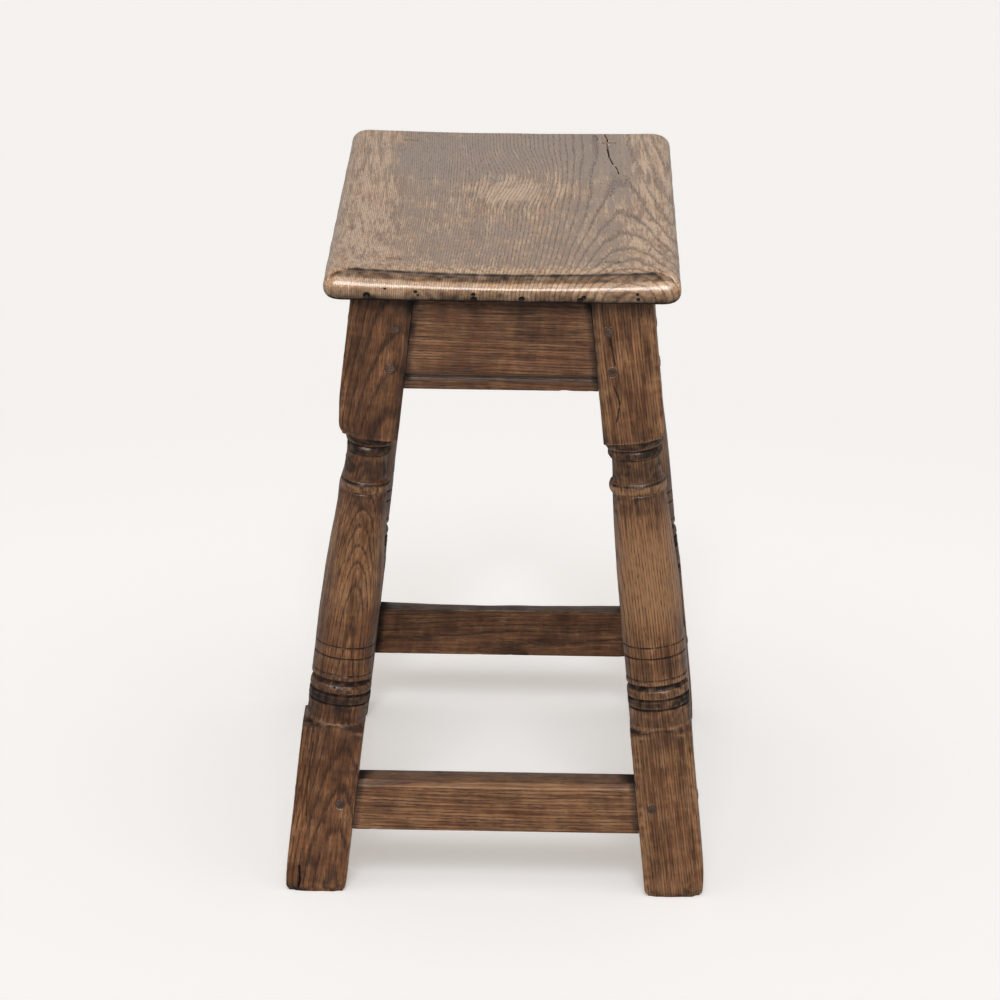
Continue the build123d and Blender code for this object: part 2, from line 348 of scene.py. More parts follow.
oakLooks = {
    "seat": {
        "ring": 16.0,           # wide near the pith, closer further out
        "tighten": 1 / 44,
        "drift": (6, 6, 0),
        "tones": [(0.0, (0.17, 0.088, 0.046)), (0.35, (0.35, 0.205, 0.112)), (0.65, (0.56, 0.355, 0.21)), (1.0, (0.78, 0.55, 0.36))],
        "rubbed": (0.8, 0.55, 0.36),
        "grime": (0.016, 0.01, 0.008),
        # the bloom colour: grey wax haze, which on the seat also stands in for a painted sheen
        "bloom": (0.355, 0.255, 0.195),
        "ragged": 1.6,          # how far the grain breaks up worn and waxed places
        "lines": 0.8,
        "lineTint": (0.47, 0.405, 0.375),
        "pores": 0.5,
        "flecks": 0.35,
        "figure": 0.25,         # cloudy bars across the grain
        "roughness": 0.46,
        "coatIor": 1.9,
        "coat": 0.8,
        "dull": 0.0,            # how much wax haze takes from the coat
        "relief": 0.35,
        "coatRelief": 0.1,
    },
    "frame": {
        "ring": 2.25,
        "tighten": 0.0,
        "drift": (8, 8, 0),
        "tones": [(0.0, (0.045, 0.0175, 0.007)), (0.35, (0.102, 0.041, 0.016)), (0.65, (0.175, 0.076, 0.031)), (1.0, (0.32, 0.155, 0.064))],
        "rubbed": (0.33, 0.17, 0.077),
        "grime": (0.014, 0.009, 0.007),
        "bloom": (0.095, 0.055, 0.037),
        "ragged": 0.8,
        "lines": 0.72,
        "lineTint": (0.46, 0.4, 0.38),
        "pores": 0.6,
        "flecks": 0.35,
        "figure": 0.6,
        "roughness": 0.48,
        "coatIor": 1.7,
        "coat": 0.6,
        "dull": 0.75,
        "relief": 0.5,
        "coatRelief": 0.3,
    },
    "pegs": {
        "ring": 2.0,
        "tighten": 0.0,
        "drift": (3, 3, 0),
        "tones": [(0.0, (0.03, 0.014, 0.008)), (0.4, (0.07, 0.034, 0.018)), (0.7, (0.12, 0.062, 0.034)), (1.0, (0.2, 0.11, 0.06))],
        "rubbed": (0.43, 0.275, 0.165),
        "grime": (0.012, 0.009, 0.0075),
        "bloom": (0.1, 0.07, 0.052),
        "ragged": 0.8,
        "lines": 0.5,
        "lineTint": (0.46, 0.42, 0.4),
        "pores": 0.5,
        "flecks": 0.1,
        "figure": 0.0,
        "roughness": 0.5,
        "coatIor": 1.7,
        "coat": 0.3,
        "dull": 0.5,
        "relief": 0.4,
        "coatRelief": 0.3,
    },
}


def oak(name, look):
    # rings about a pith line, rows of pores in the early wood, rays; then wax, rubbing and dirt
    s = Shading(name)
    place = s.attribute("grain", "Vector")
    drift = s.noise(s.vector("MULTIPLY", place, (1 / 70, 1 / 70, 1 / 240)), detail=1, output="Color")
    drift = s.vector("MULTIPLY", s.vector("SUBTRACT", drift, (0.5, 0.5, 0.5)), look["drift"])
    x, y, z = s.separate(s.vector("ADD", place, drift))
    radius = s.math("SQRT", s.math("ADD", s.math("MULTIPLY", x, x), s.math("MULTIPLY", y, y)))
    wander = s.noise(s.vector("MULTIPLY", place, (1 / 9, 1 / 9, 1 / 70)), detail=2)
    tightened = s.math("ADD", s.math("MULTIPLY", radius, look["tighten"]), 1.0)
    count = s.math("DIVIDE", s.math("MULTIPLY", radius, tightened), look["ring"])
    count = s.math("ADD", count, s.math("MULTIPLY", wander, 0.55))
    ringPart = s.math("FRACT", count)
    ringTone = s.noise(s.combine(s.math("FLOOR", count), 0.5, 0.5), scale=0.63, detail=1)
    early = s.math("MULTIPLY", s.spread(ringPart, 0.0, 0.16), s.spread(ringPart, 0.5, 0.16))

    fine = s.noise(s.vector("MULTIPLY", place, (1 / 0.62, 1 / 0.62, 1 / 9)), detail=1)
    streak = s.noise(s.vector("MULTIPLY", place, (1 / 1.5, 1 / 1.5, 1 / 42)), detail=3, roughness=0.6)
    broad = s.noise(s.vector("MULTIPLY", place, (1 / 4.2, 1 / 4.2, 1 / 60)), detail=2)
    blotch = s.noise(s.vector("MULTIPLY", place, (1 / 24, 1 / 24, 1 / 45)), detail=3, roughness=0.6)
    cloud = s.noise(s.vector("ADD", s.vector("MULTIPLY", place, (1 / 13, 1 / 13, 1 / 19)), (7, 3, 5)), detail=3)
    arc = s.math("MULTIPLY", s.math("ARCTAN2", y, x), radius)
    rayPlace = s.combine(s.math("DIVIDE", arc, 1.6), s.math("DIVIDE", radius, 14), s.math("DIVIDE", z, 9))
    rays = s.spread(s.noise(rayPlace, detail=2, roughness=0.55), 0.55, 0.68)
    poreField = s.math("ADD", fine, s.math("MULTIPLY", early, 0.17))
    poreField = s.math("ADD", poreField, s.math("MULTIPLY", s.math("SUBTRACT", broad, 0.5), 0.2))
    pores = s.spread(poreField, 0.6, 0.72)

    tone = s.math("MULTIPLY", s.math("SUBTRACT", streak, 0.5), 1.1)
    tone = s.math("ADD", tone, s.math("MULTIPLY", s.math("SUBTRACT", broad, 0.5), 0.8))
    tone = s.math("ADD", tone, s.math("MULTIPLY", s.math("SUBTRACT", blotch, 0.5), 0.9))
    tone = s.math("ADD", tone, s.math("MULTIPLY", s.math("SUBTRACT", ringTone, 0.5), 0.45))
    tone = s.math("ADD", tone, s.math("MULTIPLY", rays, look["flecks"] * 0.5))
    figure = s.noise(s.vector("MULTIPLY", place, (1 / 21, 1 / 21, 1 / 7.5)), detail=2, roughness=0.55)
    tone = s.math("ADD", tone, s.math("MULTIPLY", s.math("SUBTRACT", figure, 0.5), look["figure"]))
    tone = s.math("ADD", tone, 0.5, clamped=True)
    colour = s.ramp(tone, look["tones"])
    warm = s.spread(cloud, 0.42, 0.62)
    colour = s.mix(s.math("MULTIPLY", warm, 0.6), colour, (1.14, 0.96, 0.74), "MULTIPLY")

    rubbed = s.attribute("rubbed")
    grime = s.attribute("grime")
    bloom = s.attribute("bloom")
    ragged = s.math("ADD", s.math("MULTIPLY", s.math("SUBTRACT", broad, 0.5), 1.1), s.math("SUBTRACT", streak, 0.5))
    worn = s.spread(s.math("ADD", rubbed, s.math("MULTIPLY", ragged, look["ragged"])), 0.2, 0.95)
    colour = s.mix(s.math("MULTIPLY", worn, 0.85), colour, look["rubbed"])
    # mixed towards the bloom colour: grey wax haze, and on the seat partly a painted sheen
    hazy = s.math("ADD", bloom, s.math("MULTIPLY", s.math("SUBTRACT", cloud, 0.5), 0.7))
    hazy = s.spread(s.math("SUBTRACT", hazy, s.math("MULTIPLY", ragged, look["ragged"] * 0.5)), 0.05, 0.85)
    colour = s.mix(s.math("MULTIPLY", hazy, 0.85), colour, look["bloom"])
    lineTone = s.spread(s.math("ADD", broad, s.math("MULTIPLY", ringTone, 0.5)), 0.4, 0.95, 0.25, 1.0)
    lines = s.math("MULTIPLY", early, s.math("MULTIPLY", lineTone, look["lines"]))
    lines = s.math("MULTIPLY", lines, s.math("SUBTRACT", 1.0, s.math("MULTIPLY", hazy, 0.35)))
    colour = s.mix(lines, colour, look["lineTint"], "MULTIPLY")
    colour = s.mix(s.math("MULTIPLY", pores, look["pores"]), colour, look["grime"])
    smear = s.math("ADD", s.math("MULTIPLY", s.math("SUBTRACT", streak, 0.5), 0.5), s.math("SUBTRACT", cloud, 0.5))
    dirt = s.spread(s.math("ADD", grime, s.math("MULTIPLY", smear, 0.55)), 0.08, 0.95)
    colour = s.mix(dirt, colour, look["grime"])

    gloss = s.math("ADD", look["roughness"], s.math("MULTIPLY", pores, 0.2))
    gloss = s.math("ADD", gloss, s.math("MULTIPLY", s.math("SUBTRACT", blotch, 0.5), 0.25))
    gloss = s.math("SUBTRACT", gloss, s.math("MULTIPLY", rubbed, 0.08))
    gloss = s.math("ADD", gloss, s.math("MULTIPLY", dirt, 0.35), clamped=True)
    height = s.math("SUBTRACT", s.math("MULTIPLY", streak, 0.6), s.math("MULTIPLY", pores, 0.5))
    height = s.math("SUBTRACT", height, s.math("MULTIPLY", early, 0.35))
    height = s.math("ADD", height, s.math("MULTIPLY", cloud, 1.2))
    height = s.math("ADD", height, s.math("MULTIPLY", s.math("MULTIPLY", grime, fine), 0.8))
    for socket, strength in (("Normal", look["relief"]), ("Coat Normal", look["coatRelief"])):
        bump = s.tree.nodes.new("ShaderNodeBump")
        bump.inputs["Strength"].default_value = strength
        bump.inputs["Distance"].default_value = 0.0006
        s.put(bump.inputs["Height"], height)
        s.put(s.shader.inputs[socket], bump.outputs[0])
    s.put(s.shader.inputs["Base Color"], colour)
    s.put(s.shader.inputs["Roughness"], gloss)
    s.shader.inputs["Specular IOR Level"].default_value = 0.3
    s.shader.inputs["Coat IOR"].default_value = look["coatIor"]
    clean = s.math("SUBTRACT", 1.0, s.math("MULTIPLY", dirt, 0.92))
    clean = s.math("MULTIPLY", clean, s.math("SUBTRACT", 1.0, s.math("MULTIPLY", hazy, look["dull"])))
    s.put(s.shader.inputs["Coat Weight"], s.math("MULTIPLY", clean, look["coat"]))
    s.shader.inputs["Coat Roughness"].default_value = 0.2
    return s.material


oakSeat = oak("oak_seat", oakLooks["seat"])
oakFrame = oak("oak_frame", oakLooks["frame"])
oakPegs = oak("oak_pegs", oakLooks["pegs"])
print("oak mixed")


leg = {
    "footBlock": 144.9,     # square up to here
    "startRadius": 36.2,    # just past the corners of the square
    "segments": 120,
    "squareness": 44,       # higher is a sharper arris
    "step": 0.55,           # between rings on the mouldings
    "longStep": 2.0,        # and on the blocks and the shaft
    "footWear": 5.0,
    "turning": [            # how far up, the radius there, and the swell on the way
        (0.3, 29.6, 0), (3.8, 25.7, 0), (16, 24.9, 0), (0.6, 23.5, 0), (0.6, 24.9, 0), (6.5, 24.9, 0),
        (0.6, 23.2, 0), (0.6, 23.5, 0), (8, 23.5, 1.4), (0.1, 22.0, 0), (4.4, 22.0, -0.5),
        (0.1, 24.1, 0), (3.9, 24.1, 0.2), (0.6, 23.3, 0), (0.6, 24, 0), (20.3, 24, 0),
        (0.7, 22.9, 0), (0.7, 24, 0), (8.2, 24, 0), (0.7, 22.9, 0), (0.7, 24, 0), (129, 20.6, 2),
        (0.5, 20.2, 0), (0.5, 21.1, 0), (10.1, 21.1, 1.7), (0.5, 19.3, 0), (15.1, 18, -0.2),
        (0.4, 19.5, 0), (0.7, 19.5, 0), (7, 19.4, 1.5), (0.4, 21.2, 0), (1.1, 21.4, 0),
        (6.4, 25.2, 0.6), (1.8, 36.2, 0),
    ],
    # the worn outline under the mouldings, by height
    "core": [(145, 25.6), (190, 23.9), (222, 23.8), (352, 20.9), (378, 18.6), (396, 22.6)],
    # wax and dirt: height, half width, strength
    "dirt": [
        (146.5, 1.6, 0.4), (165.6, 1.5, 0.68), (173.7, 1.8, 0.72), (184.2, 2.9, 0.66), (191, 1.0, 0.5),
        (212.6, 1.0, 0.55), (222.2, 1.0, 0.5), (350, 2.4, 0.45), (361.2, 1.2, 0.65), (379, 1.2, 0.62),
        (386.9, 1.2, 0.7), (392, 4.2, 0.5), (157, 9, 0.3), (169.5, 3.6, 0.6), (383, 4.5, 0.55),
        (370, 12, 0.42), (345, 12, 0.3), (200, 9, 0.15), (178, 5, 0.25),
    ],
    # and where the polish has been rubbed bright
    "rubbed": [(167, 0.8, 0.4), (175, 0.9, 0.7), (188, 1.5, 0.4), (356.5, 3.6, 0.7), (387.8, 0.7, 0.7),
               (379.5, 0.6, 0.6), (395.6, 0.6, 0.6), (149.6, 1.0, 0.5)],
}


def turnedRings():
    # height and radius of each ring between the blocks, with the crisp edges worn off a little
    height, radius = leg["footBlock"], leg["startRadius"]
    rings = [(height, radius)]
    for rise, width, swell in leg["turning"]:
        length = hypot(rise, width - radius)
        step = leg["longStep"] if rise > 25 else leg["step"]
        count = max(1, ceil(length / step))
        for i in range(1, count + 1):
            t = i / count
            bow = swell * 4 * t * (1 - t)
            rings.append((height + rise * t, radius + (width - radius) * t + bow))
        height += rise
        radius = width
    worn = list(rings)
    for i in range(1, len(rings) - 1):
        worn[i] = tuple((rings[i - 1][k] + 4 * rings[i][k] + rings[i + 1][k]) / 6 for k in (0, 1))
    return worn


def bands(table, rise):
    # how much the mouldings' dirt or rubbing amounts to at a height
    return max(amount * (1 - ramp(abs(rise - place), 0.45 * half, 1.25 * half)) for place, half, amount in table)


def legPegs(corner):
    # places of the peg heads on the two outer faces, and the way each looks
    places = []
    for nodeName in ("apron_pegs", "stretcher_pegs"):
        end = "front" if corner[1] < 0 else "back"
        side = "left" if corner[0] < 0 else "right"
        for whole in (end + "_" + nodeName, side + "_" + nodeName):
            for centre, normal in pegHeads(whole):
                if centre.x * corner[0] > 0 and centre.y * corner[1] > 0:
                    places.append((centre, normal))
    return places


def pegHeads(nodeName):
    # each peg of a node, by its loose parts: the middle of its head and the way it points
    bm = bmesh.new()
    bm.from_mesh(frame["nodes"][nodeName].data)
    bmesh.ops.scale(bm, vec=(1 / mm, 1 / mm, 1 / mm), verts=bm.verts)
    bmesh.ops.remove_doubles(bm, verts=bm.verts, dist=0.01)
    left = set(bm.verts)
    heads = []
    while left:
        group, stack = set(), [left.pop()]
        while stack:
            v = stack.pop()
            group.add(v)
            for e in v.link_edges:
                other = e.other_vert(v)
                if other in left:
                    left.discard(other)
                    stack.append(other)
        middle = sum((v.co for v in group), Vector()) / len(group)
        if nodeName == "seat_pegs":
            normal = Vector((0, 0, 1))
        elif nodeName.startswith(("front", "back")):
            normal = Vector((0, 1 if middle.y > 0 else -1, 0))
        else:
            normal = Vector(((1 if middle.x > 0 else -1) * cos(rake), 0, sin(rake)))
        top = max((v.co - middle).dot(normal) for v in group)
        heads.append((middle + normal * top, normal))
    bm.free()
    return heads


def makeLeg(name, marks):
    corner = corners[name]
    seed, pith = marks["seed"], marks["pith"]
    rings = turnedRings()
    blockStart, headStart = rings[0][0], rings[-1][0]
    footRings = int(blockStart / leg["longStep"])
    headRings = int((frameTop - headStart) / leg["longStep"])
    total = footRings + len(rings) + headRings
    bm = unitTube(total, leg["segments"])
    for v in bm.verts:
        ring = round(v.co.z)
        turn = atan2(v.co.y, v.co.x)
        turn += 0.55 * sin(4 * turn) / 4
        powers = leg["squareness"]
        square = legHalf / (abs(cos(turn)) ** powers + abs(sin(turn)) ** powers) ** (1 / powers)
        out, across = square * cos(turn), square * sin(turn)
        outer = ramp(cos(turn), 0.25, 0.95)
        lift = 99.0
        shift = 0.0
        if ring < footRings:
            low = -out * sin(rake) / cos(rake)
            t = ring / footRings
            height = low + (blockStart - low) * t ** 1.15
            width = square
            lift = height - low
        elif ring < footRings + len(rings):
            height, round_ = rings[ring - footRings]
            if round_ < 29:
                girth = along(marks["girth"], height)
                round_ += girth
                core = along(leg["core"], height) + girth
                round_ -= max(0, round_ - core) * marks["knock"] * outer
                shift = along(marks["shift"], height) * ramp(height, 146, 152) * (1 - ramp(height, 386, 395))
            width = min(square, round_)
            height += along(marks["drop"], height)
        else:
            high = (frameTop - out * sin(rake)) / cos(rake)
            t = (ring - footRings - len(rings) + 1) / headRings
            height = headStart + (high - headStart) * t
            width = square
            shift = -along(marks["slim"], height) * ramp(cos(turn), 0.3, 0.65)
        edge = ramp(abs(sin(2 * turn)), 0.9, 1.0)
        spot = (corner[0] * out, corner[1] * across, height)
        if width > legHalf - 0.01:
            width -= edge * (0.12 + 0.4 * max(0, lump(spot, 20, seed)) + 0.35 * max(0, lump(spot, 6, seed + 3)))
        width += 0.2 * lump(spot, 38, seed + 5) + 0.06 * lump(spot, 5, seed + 8) - 0.06
        chipped = ramp(height, 158, 163) * (1 - ramp(height, 190, 196)) + 0.6 * ramp(height, 378, 382)
        if chipped and width < legHalf - 0.2:
            width -= chipped * (0.5 * max(0, lump(spot, 3.2, seed + 21) - 0.1) + 0.22 * lump(spot, 8, seed + 23))
        # the outer corner under the head block is knocked round, and so is the outside of the foot
        above = height - headStart
        knocked = exp(-above / 5) if above > 0 else (1 - 0.5 * ramp(-above, 0.5, 4)) * exp(-((above / 6) ** 2))
        width -= marks["blockKnock"] * knocked * ramp(cos(turn), 0.25, 0.68)
        if above < 0:
            width -= along(marks["hollow"], height) * outer
        if lift < 30:
            worn = 1 - ramp(lift, 0, leg["footWear"])
            width -= worn * (1.1 + 1.8 * edge + 1.3 * lump(spot, 9, seed + 2))
            width -= marks["footOut"] * outer * (1 - lift / 30) ** 2
        v.co = legPoint(corner, width * cos(turn) + shift, width * sin(turn), height)
        v.co.z = max(v.co.z, 0.0)
    print("  ", name, len(bm.verts), "vertices before its marks")

    cuts = []
    for centre, normal in legPegs(corner):
        refine(bm, centre, 11)
        refine(bm, centre, 8)
        ringCut(centre, normal, 4.3, 0.75, 1.2, cuts)
    for split in marks["splits"]:
        points = [legPoint(corner, *p) for p in split["points"]]
        for start, end in zip(points, points[1:]):
            refineAlong(bm, start, end, 4)
            refineAlong(bm, start, end, 2.4)
        cuts.append({**split, "points": points})
    grain, grime, rubbed, bloom = finishLayers(bm)
    dark = carve(bm, cuts)

    dirtBands, rubbedBands = (
        [(place + along(marks["drop"], place), half, amount) for place, half, amount in leg[kind]] for kind in ("dirt", "rubbed")
    )
    for v in bm.verts:
        out, across, rise = legLocal(corner, v.co)
        spot = (corner[0] * out, corner[1] * across, rise)
        v[grain] = Vector((spot[0] + pith[0] + pith[2] * rise, spot[1] + pith[1] + pith[3] * rise, rise + 37 * seed))
        turn = atan2(across, out)
        edge = ramp(abs(sin(2 * turn)), 0.92, 1.0)
        patch = lump(spot, 16, seed + 11)
        small = lump(spot, 4.5, seed + 13)
        dirty = 0.06 + 0.22 * max(0, patch)
        bright = 0.04 + 0.25 * max(0, -patch)
        grey = 0.05 + 0.15 * max(0, lump(spot, 40, seed + 17))
        if blockStart + 0.2 < rise < headStart - 0.4:
            shaft = ramp(rise, 225, 262) * (1 - ramp(rise, 300, 345))
            worked = ramp(rise, 158, 162) * (1 - ramp(rise, 190, 194))
            dirty += bands(dirtBands, rise) * (1 + 0.5 * small) + 0.3 * worked * max(0, small + 0.3 * patch)
            bright += 0.42 * shaft + bands(rubbedBands, rise) * clamp(0.5 + 1.3 * small)
            dirty -= 0.1 * shaft
        else:
            if rise > headStart:
                seam = min(legHalf + out, legHalf + across)
                # darker beside the apron's joint, and painted shade towards the top under the seat
                dirty += 0.35 * (1 - ramp(seam, 2, 7)) + 0.25 * ramp(rise, 498, 514)
                dirty += 0.3 * (1 - ramp(rise, headStart, headStart + 16)) * (0.6 + patch)
            bright += 0.45 * edge * clamp(0.4 + small)
            dirty += 0.25 * ramp(rise, 100, 144) * (1 - ramp(rise, 145, 146))
            dirty += marks["smoke"] * ramp(rise, headStart, headStart + 10)
        # at the top corners of the foot block: a dark line, partly dirt and partly painted shade in the recess, and
        # over it a painted highlight along the arris with some wear
        nearCorner = ramp(abs(sin(2 * turn)), 0.45, 0.9)
        dirty += 0.2 * nearCorner * (1 - ramp(abs(rise - 147), 0.8, 3.2)) * clamp(0.7 + small)
        bright += 0.6 * nearCorner * (1 - ramp(abs(rise - 143.2), 0.5, 1.6)) * clamp(0.5 + 1.5 * small)
        bright += marks["tan"]
        if rise < 14:
            dirty += 0.35 * (1 - ramp(rise, 0, 12)) * (1 + small)
        v[grime] = clamp(dirty + dark.get(v, 0) + 0.12 * small)
        v[rubbed] = clamp(bright)
        v[bloom] = clamp(grey)
    return finishPiece(name + "Leg", bm, oakFrame, name + "_leg")


legMarks = {
    "front_left": {
        "seed": 1.3,
        "tan": 0.0,
        "smoke": 0.12,
        # thicker or thinner than drawn, shifted outwards, and moved up, by height
        "girth": [(146, -1), (158, -0.8), (168, 0.7), (190, 0.8), (215, 0.4), (250, 0.8), (285, 0.6), (310, -0.4), (325, -0.6), (340, -1.2), (378, -1.7)],
        "shift": [(150, -1), (170, -2), (200, -1.5), (310, -1.3), (325, -2.1), (378, -2.1)],
        "drop": [(192, 0), (207, -7), (222, -7), (345, -6.3), (364, -6.3), (378, 0)],
        "knock": 0.9,           # wear of the outside of the mouldings
        "hollow": [(366, 0), (373, -0.8), (379, 0.5), (386, 1.0), (393, 0)],
        "slim": [(396, 1.2), (412, 1.2), (430, 0)],
        "blockKnock": 8.0,
        "footOut": 3.4,
        "pith": (-14, 74, 0.0, 0.05),
        "splits": [
            {"points": [(14, 25, 0), (13, 25.5, 9), (15, 25.5, 21)], "width": 0.9, "depth": 3.0},
            {"points": [(1.5, 23.5, 173), (2.5, 24.5, 181)], "width": 0.6, "depth": 1.6},
            {"points": [(13, 25.5, 60), (16, 25.5, 96), (15, 25.5, 132)], "width": 0.45, "depth": 0.5, "dark": 0.6},
        ],
    },
    "front_right": {
        "seed": 4.1,
        "tan": 0.36,
        "smoke": 0.02,
        "girth": [(146, 0.5), (165, 0.5), (172, 1.3), (275, 1.45), (295, 0.87), (345, 1.1), (378, 1.6)],
        "shift": [(150, 0.6), (280, 0.8), (320, 0.3), (345, -0.2), (378, -0.6)],
        "drop": [(192, 0), (207, -2.6), (222, -2.6), (345, -3.6), (364, -3.6), (378, 0)],
        "knock": 0.35,
        "hollow": [(394, 0)],
        "slim": [(396, 0.5), (412, 0.4), (430, 0)],
        "blockKnock": 4.6,
        "footOut": 6.4,
        "pith": (92, 30, 0.02, 0.0),
        "splits": [
            {"points": [(-13, 25.5, 446), (-9, 25.5, 430), (-13, 25.5, 415)], "width": 0.55, "depth": 0.8, "dark": 0.8},
            {"points": [(-12.5, 25.5, 485), (-10, 25.5, 462)], "width": 0.55, "depth": 0.8, "dark": 0.8},
        ],
    },
    "back_left": {
        "seed": 7.7,
        "tan": 0.0,
        "smoke": 0.1,
        "girth": [(146, 0.1), (224, 0.5), (236, -1.1), (250, -1.9), (300, -1.7), (345, -0.6), (380, 0.2)],
        "shift": [(146, 0.4), (224, 0.4), (240, -0.8), (300, -0.8), (345, 0)],
        "drop": [(192, 0), (207, -4), (364, -4), (378, 0)],
        "knock": 0.4,
        "hollow": [(394, 0)],
        "slim": [(430, 0)],
        "blockKnock": 1.8,
        "footOut": 2.0,
        "pith": (60, 55, 0.0, 0.03),
        "splits": [{"points": [(25.5, 6, 40), (25.5, 8, 20)], "width": 0.6, "depth": 0.9}],
    },
    "back_right": {
        "seed": 9.2,
        "tan": 0.0,
        "smoke": 0.1,
        "girth": [(146, 0.2), (220, 0.4), (380, -0.2)],
        "shift": [(146, -0.3)],
        "drop": [(192, 0), (207, -5), (364, -5), (378, 0)],
        "knock": 0.5,
        "hollow": [(394, 0)],
        "slim": [(430, 0)],
        "blockKnock": 2.4,
        "footOut": 3.0,
        "pith": (-40, 80, 0.03, 0.0),
        "splits": [{"points": [(25.5, -8, 120), (25.5, -2, 112)], "width": 0.7, "depth": 1.0}],
    },
}

for name, marks in legMarks.items():
    makeLeg(name, marks)
print("legs turned")


rails = {
    "step": 3.2,            # along the rail
    "fine": 1.7,            # round its section
    "arris": 0.6,           # worn radius of the edges
    "band": 6.0,            # moulding at the foot of an apron
    "cove": 5.0,
    "coveDepth": 1.8,
    "fillet": 1.2,
    "rebate": 0.9,
    "bevel": 4.0,           # upper outer edge of a stretcher
    "footWear": 1.6,        # hollow worn in the tops of the stretchers
    "sag": 1.2,             # their lower edges hang a little below the line
}


def outlineLoop(points, spacing):
    # a closed section as a ring of vertices a few apart, its corners a little rounded
    loop = []
    count = len(points)
    for i, (x, y) in enumerate(points):
        nextX, nextY = points[(i + 1) % count]
        length = hypot(nextX - x, nextY - y)
        parts = max(1, round(length / spacing))
        soft = min(rails["arris"], length / 3)
        if length > 3 * rails["arris"]:
            loop.append((x + (nextX - x) * soft / length, y + (nextY - y) * soft / length))
        for k in range(1, parts):
            loop.append((x + (nextX - x) * k / parts, y + (nextY - y) * k / parts))
        if length > 3 * rails["arris"]:
            loop.append((nextX - (nextX - x) * soft / length, nextY - (nextY - y) * soft / length))
            aheadX, aheadY = points[(i + 2) % count]
            turn = hypot(aheadX - nextX, aheadY - nextY)
            nearX = nextX + (aheadX - nextX) * min(soft, turn / 3) / turn
            nearY = nextY + (aheadY - nextY) * min(soft, turn / 3) / turn
            backX = nextX - (nextX - x) * soft / length
            backY = nextY - (nextY - y) * soft / length
            loop.append(((nextX * 2 + nearX + backX) / 4, (nextY * 2 + nearY + backY) / 4))
        else:
            loop.append((nextX, nextY))
    return loop


def apronSection(low, high):
    # depth behind the face, and height
    r = rails
    coveTop = r["band"] + r["cove"]
    points = [(railDepth, low), (railDepth, high), (0, high), (0, low + coveTop + r["fillet"])]
    points += [(r["rebate"], low + coveTop + r["fillet"]), (r["rebate"], low + coveTop)]
    steps = 6
    for i in range(steps + 1):
        t = i / steps
        depth = r["rebate"] * (1 - t) + r["coveDepth"] * 4 * t * (1 - t)
        points.append((depth, low + coveTop - r["cove"] * t))
    points.append((0, low))
    return points


def stretcherSection(low, high):
    bevel = rails["bevel"]
    return [(railDepth, low), (railDepth, high), (bevel + 1, high), (0, high - bevel), (0, low)]


def sweepSection(section, length):
    # the section run along X from 0 to 1
    count = round(length / rails["step"])
    bm = unitTube(count + 1, len(section))
    for v in bm.verts:
        place = round(atan2(v.co.y, v.co.x) / (2 * pi) * len(section)) % len(section)
        x, y = section[place]
        v.co = (v.co.z / count, x, y)
    return bm


def railPoint(side, t, depth, z):
    # side is front, back, left or right; t runs from -1 to 1 between the legs
    if side in ("front", "back"):
        sign = -1 if side == "front" else 1
        return Vector((t * innerX(z), sign * (legY + legHalf - railSetback - depth), z))
    sign = -1 if side == "left" else 1
    out = legHalf - railSetback - depth
    rise = (z - out * sin(rake)) / cos(rake)
    return legPoint((sign, 1), out, t * (legY - legHalf) - legY, rise)


